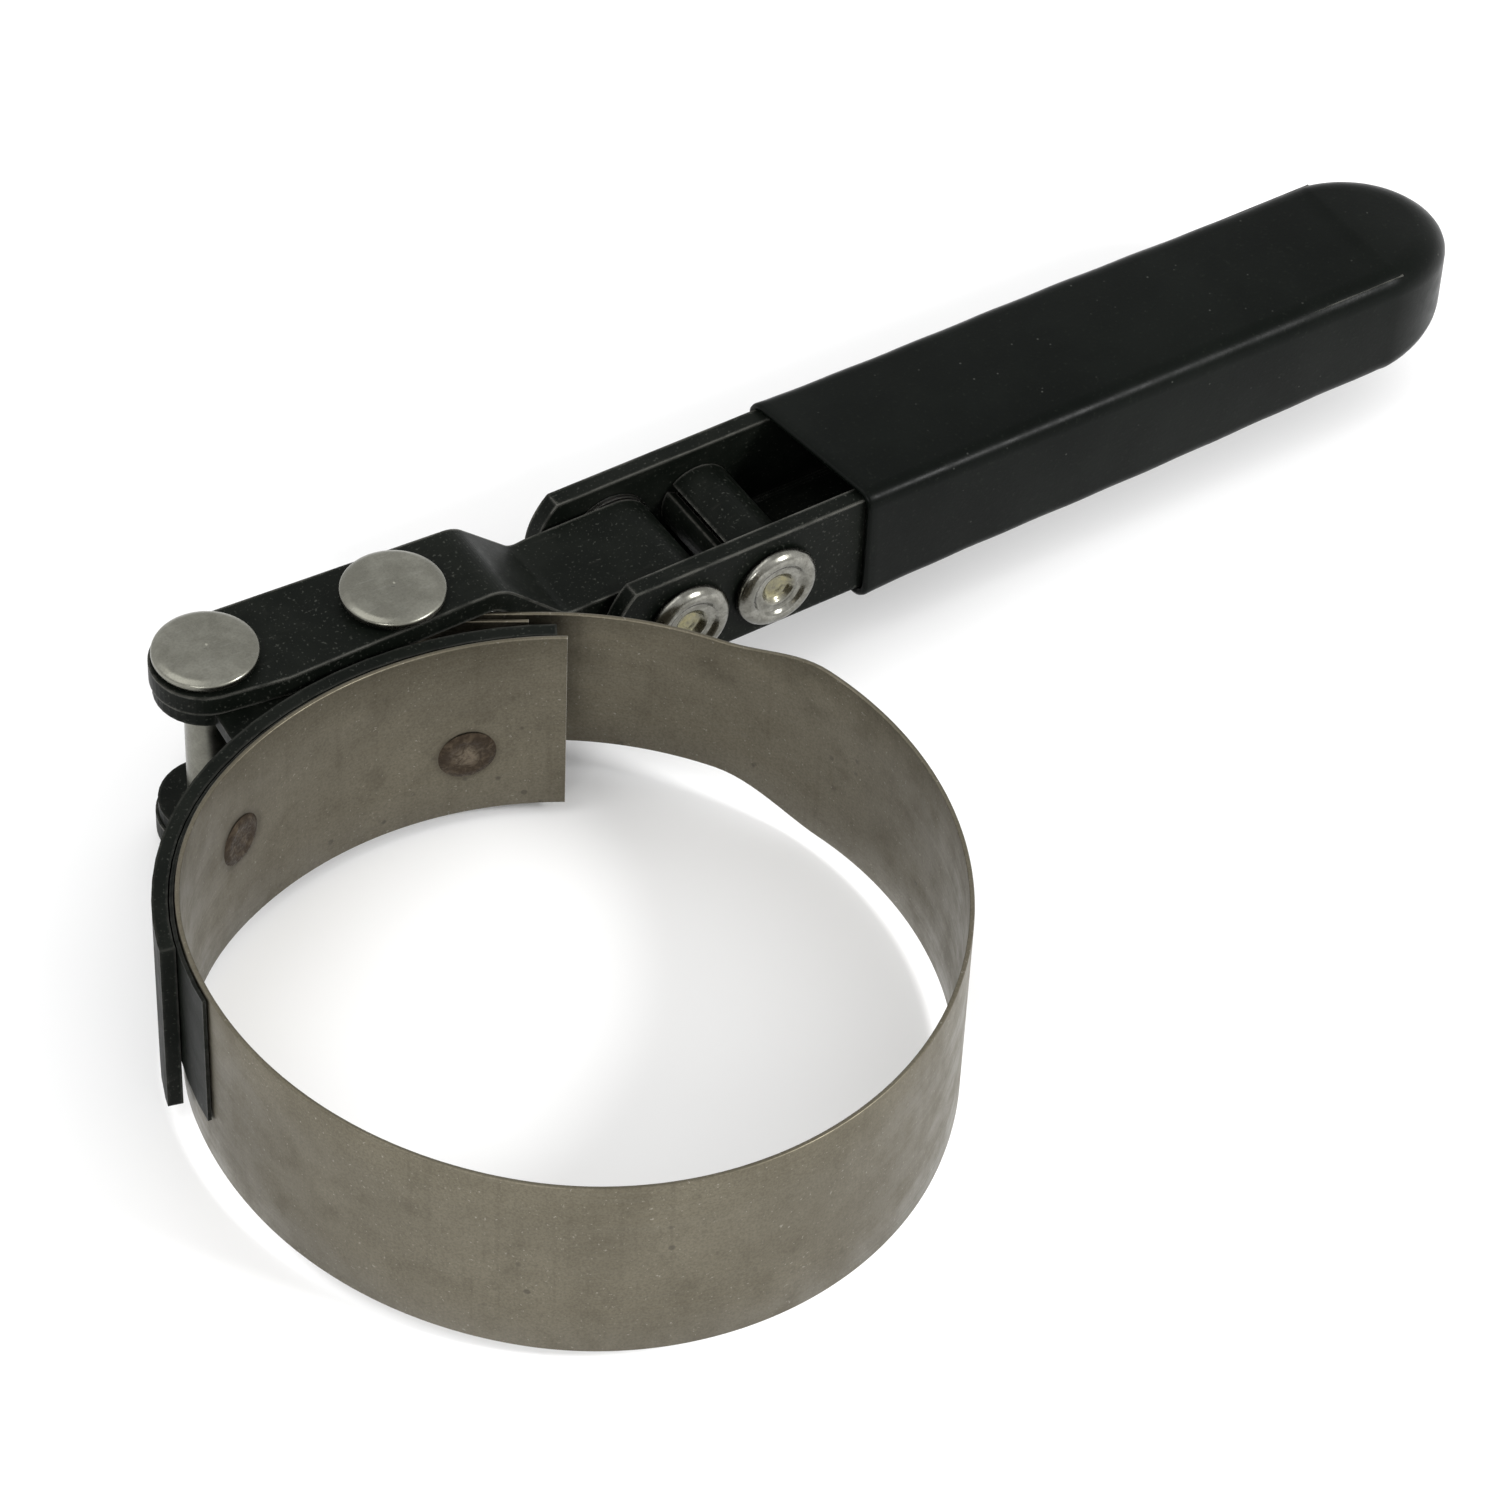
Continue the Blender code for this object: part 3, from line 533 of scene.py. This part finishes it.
def strip(name, first, last, route, half_height_at, open_start=False, open_end=False):
    """The band from one of the route's points to another, as a closed strip."""
    points, distances, _ = route
    form = bmesh.new()
    uv = form.loops.layers.uv.new("along")
    rings = []
    for here in range(first, last + 1):
        before = points[max(here - 1, 0)]
        after = points[min(here + 1, len(points) - 1)]
        along = (after - before).normalized()
        normal = Vector((along.y, -along.x))
        ring = []
        for off, rise in band_section(half_height_at(distances[here])):
            place = points[here] + normal * off
            vertex = form.verts.new((place.x, place.y, MIDDLE + rise))
            ring.append((vertex, distances[here], rise))
        rings.append(ring)
    count = len(rings[0])
    for ring, following in zip(rings, rings[1:]):
        for i in range(count):
            j = (i + 1) % count
            corners = (ring[i], following[i], following[j], ring[j])
            face = form.faces.new([c[0] for c in corners])
            for loop, corner in zip(face.loops, corners):
                loop[uv].uv = (corner[1], corner[2])
    if not open_start:
        form.faces.new([c[0] for c in rings[0]])
    if not open_end:
        form.faces.new([c[0] for c in reversed(rings[-1])])
    bmesh.ops.recalc_face_normals(form, faces=form.faces)
    return make_object(name, form, BAND, 50.0)


def make_band(route):
    """The band in two pieces: its welded length, and the free length beyond it."""
    points, distances, loop_start = route
    narrow = loop_start - NECK_END
    wide = narrow - NECK_LENGTH

    def half_height_at(distance):
        share = min(max((distance - wide) / (narrow - wide), 0.0), 1.0)
        smooth = share * share * (3 - 2 * share)
        return (BAND_WIDTH + smooth * (TAIL_WIDTH - BAND_WIDTH)) / 2

    def before_loop(length):
        return min(range(len(points)), key=lambda i: abs(distances[i] - (loop_start - length)))

    seam = before_loop(BLEND_START_BEFORE_LOOP)
    last = len(points) - 1
    welded = strip("band_welded_length", 0, seam, route, half_height_at, open_end=True)
    free = strip("band_free_length", seam, last, route, half_height_at, open_start=True)
    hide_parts("band_hoop")
    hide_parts("band_tail")
    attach(welded, "ring")
    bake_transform(free)


def make_weld(name, center, inward, radius):
    """A spot weld's dimple: a low burnt ring round a rough sunken middle."""
    profile = [
        (0.0, 0.14 * MM), (0.25 * radius, 0.16 * MM), (0.45 * radius, 0.13 * MM),
        (0.58 * radius, 0.19 * MM), (0.70 * radius, SPOT_WELD_HEIGHT), (0.82 * radius, 0.27 * MM),
        (0.93 * radius, 0.12 * MM), (radius, 0.01 * MM), (0.8 * radius, 0.0), (0.0, 0.0),
    ]

    def roughen(r, angle):
        if r > 0.9 * radius:
            return 0.0
        return 0.035 * MM * math.sin(5 * angle + r / (0.31 * MM)) * math.sin(3 * angle + 1.3)

    lower = center - inward * SPOT_WELD_SINK
    made = lathe(f"{name}_dimple", profile, lower, inward, WELD, 48, 60.0, roughen)
    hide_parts(name)
    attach(made, "ring")


def make_pivot_rivet(node, body):
    """A flat-headed solid rivet with a faint centre mark and a rolled lower rim."""
    low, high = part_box(node)
    center = middle(node)
    top = (high[2] - low[2]) / 2
    head = (high[0] - low[0]) / 2
    under = top - PIVOT_HEAD_HEIGHT
    shaft = PIVOT_SHAFT_RADIUS
    foot = PIVOT_FOOT_RADIUS
    outline = [
        (0.22 * MM, top - 0.10 * MM), (0.42 * MM, top), (head - 0.75 * MM, top - 0.02 * MM),
        (head - 0.02 * MM, top - 0.42 * MM), (head, top - 0.95 * MM), (head - 0.35 * MM, under),
        (shaft, under), (shaft, -under), (foot, -under), (foot, -top + 0.55 * MM),
        (foot - 0.9 * MM, -top), (0.6 * MM, -top),
    ]
    profile = [(0.0, top - 0.14 * MM), *rounded(outline, 0.35 * MM), (0.0, -top)]
    made = lathe(f"{node}_headed", profile, center, (0.0, 0.0, 1.0), ZINC)
    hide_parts(node)
    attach(made, body)


def make_channel_rivet(node):
    """A semi-tubular rivet: its rolled ring faces -Y, its low dome +Y."""
    low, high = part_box(node)
    center = middle(node)
    half = (high[1] - low[1]) / 2
    ring = (high[0] - low[0]) / 2
    wall = half - CHANNEL_HEAD_HEIGHT
    shaft = CHANNEL_SHAFT_RADIUS
    bore = CHANNEL_BORE_RADIUS
    outline = [
        (0.7 * MM, half - 1.15 * MM), (1.35 * MM, half - 1.2 * MM), (bore, half - 0.85 * MM),
        (bore + 0.35 * MM, half - 0.55 * MM), (bore + 0.75 * MM, half - 0.62 * MM),
        (bore + 1.15 * MM, half - 0.55 * MM), (bore + 1.6 * MM, half - 0.12 * MM),
        (bore + 2.1 * MM, half), (ring - 0.6 * MM, half - 0.2 * MM),
        (ring - 0.1 * MM, half - 0.7 * MM), (ring, wall + 0.25 * MM), (ring - 0.25 * MM, wall),
        (shaft, wall), (shaft, -wall), (0.94 * ring, -wall), (ring, -wall - 0.25 * MM),
        (0.85 * ring, -wall - 0.8 * MM), (0.5 * ring, -half + 0.12 * MM), (0.1 * ring, -half),
    ]

    def roughen(r, angle):
        if r > ring - 0.3 * MM or r < bore:
            return 0.0
        return 0.02 * MM * math.sin(2 * angle + center.x / MM) + 0.012 * MM * math.sin(5 * angle)

    profile = [(0.0, half - 0.95 * MM), *rounded(outline, 0.4 * MM), (0.0, -half)]
    made = lathe(f"{node}_rolled", profile, center, (0.0, -1.0, 0.0), ROLLED, 128, 88.0, roughen)
    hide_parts(node)
    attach(made, "handle")


def make_grip():
    """The dipped sleeve, lofted along the handle to a rounded tip."""
    low, high = (Vector(corner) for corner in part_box("grip"))
    center = (low + high) / 2
    half_width = (high.y - low.y) / 2
    half_height = (high.z - low.z) / 2
    corner_steps = 8

    def section(shrink_width, shrink_height, radius):
        """A rounded rectangle of (y, z) points about the grip's centre line."""
        w = half_width - shrink_width
        h = half_height - shrink_height
        radius = min(radius, w * 0.98, h * 0.98)
        ring = []
        for quadrant, (sy, sz) in enumerate(((1, 1), (-1, 1), (-1, -1), (1, -1))):
            for step in range(corner_steps + 1):
                angle = math.radians(90.0 * quadrant + 90.0 * step / corner_steps)
                y = sy * (w - radius) + radius * math.cos(angle)
                ring.append(Vector((y, sz * (h - radius) + radius * math.sin(angle))))
        return ring

    form = bmesh.new()
    rings = []

    def add(x, ring, askew):
        row = []
        for point in ring:
            skew = askew * (0.5 - point.x / (2 * half_width))
            row.append(form.verts.new((x + skew, center.y + point.x, center.z + point.y)))
        rings.append(row)

    # From inside the mouth, round its lip, to the outside: (x, shrink, corner radius, skew)
    lip = (
        (GRIP_MOUTH_DEPTH, GRIP_WALL, 1.2 * MM, 0.0),
        (0.35 * MM, GRIP_WALL, 1.2 * MM, GRIP_MOUTH_SKEW),
        (0.05 * MM, GRIP_WALL * 0.7, 1.5 * MM, GRIP_MOUTH_SKEW),
        (0.0, GRIP_WALL * 0.35, GRIP_MOUTH_CORNER, GRIP_MOUTH_SKEW),
        (0.12 * MM, 0.08 * MM, GRIP_MOUTH_CORNER, GRIP_MOUTH_SKEW),
        (0.45 * MM, 0.0, GRIP_MOUTH_CORNER, GRIP_MOUTH_SKEW),
    )
    for x, shrink, radius, askew in lip:
        add(low.x + x, section(shrink, shrink, radius), askew)
    tip_center = high.x - GRIP_TIP_REACH * half_width
    body_steps = 40
    start_x = low.x + 1.5 * MM
    for step in range(body_steps + 1):
        share = step / body_steps
        radius = GRIP_MOUTH_CORNER + (GRIP_TIP_CORNER - GRIP_MOUTH_CORNER) * share
        ripple = 0.05 * MM * (1 + math.sin(9.0 * share)) + 0.04 * MM * math.sin(23 * share) ** 2
        ring = section(ripple, ripple + GRIP_TAPER * share, radius)
        askew = GRIP_MOUTH_SKEW * max(0.0, 1 - 4 * share)
        add(start_x + share * (tip_center - start_x), ring, askew)
    # The tip is half the section swept about a vertical axis
    tip_steps = 26
    for step in range(1, tip_steps + 1):
        angle = math.pi / 2 * step / tip_steps
        lower = GRIP_TAPER + GRIP_TIP_DROP * math.sin(angle) ** 2
        radius = GRIP_TIP_CORNER + GRIP_TIP_CORNER_GROWTH * math.sin(angle)
        row = []
        for point in section(0.06 * MM, lower, radius):
            x = tip_center + GRIP_TIP_REACH * abs(point.x) * math.sin(angle)
            y = center.y + point.x * math.cos(angle)
            row.append(form.verts.new((x, y, center.z + point.y)))
        rings.append(row)
    count = len(rings[0])
    for first, second in zip(rings, rings[1:]):
        for i in range(count):
            j = (i + 1) % count
            form.faces.new((first[i], first[j], second[j], second[i]))
    bmesh.ops.remove_doubles(form, verts=form.verts, dist=0.002 * MM)
    bmesh.ops.recalc_face_normals(form, faces=form.faces)
    made = make_object("grip_dipped_sleeve", form, VINYL, 60.0)
    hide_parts("grip")
    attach(made, "handle")


def dress(node, material, bevel=0.0):
    """A CAD node keeps its shape, with a better finish and softened edges."""
    part = NODES[node]
    for material_slot in part.material_slots:
        material_slot.material = material
    if bevel:
        soft = part.modifiers.new("soft_edges", "BEVEL")
        soft.width = bevel
        soft.segments = 3
        soft.limit_method = "ANGLE"
        soft.angle_limit = math.radians(30.0)
        soft.harden_normals = True


def make_welds(points):
    """The two spot welds, each facing in from the band's nearest point."""
    for node, radius in SPOT_WELD_RADII.items():
        center = middle(node)
        nearest = min(range(1, len(points) - 1), key=lambda i: (points[i] - center.xy).length)
        along = (points[nearest + 1] - points[nearest - 1]).normalized()
        make_weld(node, center, Vector((-along.y, along.x, 0.0)), radius)


band = band_route()
make_band(band)
make_welds(band[0])
make_pivot_rivet("shoe_pivot_rivet", "ring")
make_pivot_rivet("band_pivot_rivet", "lever")
make_channel_rivet("swivel_rivet")
make_channel_rivet("spacer_rivet")
make_grip()
dress("shoe", SHOE_BLACK, 0.18 * MM)
dress("backing_strip", SHOE_BLACK)
dress("lever_strap", BLACK, 0.35 * MM)
dress("handle_channel", BLACK, 0.30 * MM)
dress("rolled_spacer", BLACK, 0.15 * MM)
for washer in ("near_friction_washer", "far_friction_washer"):
    dress(washer, SPRING)
for nugget in ("flap_spot_weld_1", "flap_spot_weld_2"):
    dress(nugget, WELD)


# ---------------------------------------------------------------- stage, light, camera


def make_floor():
    form = bmesh.new()
    bmesh.ops.create_grid(form, x_segments=1, y_segments=1, size=FLOOR_SIZE)
    floor = make_object("pale_floor_sheet", form, floor_material())
    floor.location = (0.0, 0.0, cad_box[0][2] - FLOOR_GAP)


def area_light(name, place, size, watts):
    lamp = bpy.data.lights.new(name, "AREA")
    lamp.shape = "DISK"
    lamp.size = size
    lamp.energy = watts
    made = bpy.data.objects.new(name, lamp)
    made.location = place
    made.rotation_euler = (Vector(LIGHT_TARGET) - Vector(place)).to_track_quat("-Z", "Y").to_euler()
    bpy.context.scene.collection.objects.link(made)


def make_light():
    world = bpy.data.worlds.new("studio")
    world.use_nodes = True
    background = world.node_tree.nodes["Background"]
    background.inputs["Color"].default_value = (1.0, 1.0, 1.0, 1.0)
    background.inputs["Strength"].default_value = WORLD_BRIGHTNESS
    bpy.context.scene.world = world
    for name, (place, size, watts) in LIGHTS.items():
        area_light(name, place, size, watts)


def make_camera():
    """The photograph's view: CAMERA_AHEAD, turned about itself by the roll."""
    ahead = CAMERA_AHEAD.normalized()
    level = ahead.cross(Vector((0.0, 0.0, 1.0))).normalized()
    upright = level.cross(ahead)
    right = math.cos(CAMERA_ROLL) * level - math.sin(CAMERA_ROLL) * upright
    up = math.sin(CAMERA_ROLL) * level + math.cos(CAMERA_ROLL) * upright
    data = bpy.data.cameras.new("photo_view")
    data.lens = CAMERA_LENS
    data.sensor_width = CAMERA_SENSOR
    data.clip_start = CAMERA_CLIP
    camera = bpy.data.objects.new("photo_view", data)
    place = CAMERA_PLACE - up * FRAMING_SHIFT
    turn = Matrix((
        (right.x, up.x, -ahead.x, place.x),
        (right.y, up.y, -ahead.y, place.y),
        (right.z, up.z, -ahead.z, place.z),
        (0.0, 0.0, 0.0, 1.0),
    ))
    camera.matrix_world = turn
    bpy.context.scene.collection.objects.link(camera)
    bpy.context.scene.camera = camera


make_floor()
make_light()
make_camera()
bpy.context.scene.view_settings.view_transform = "Standard"
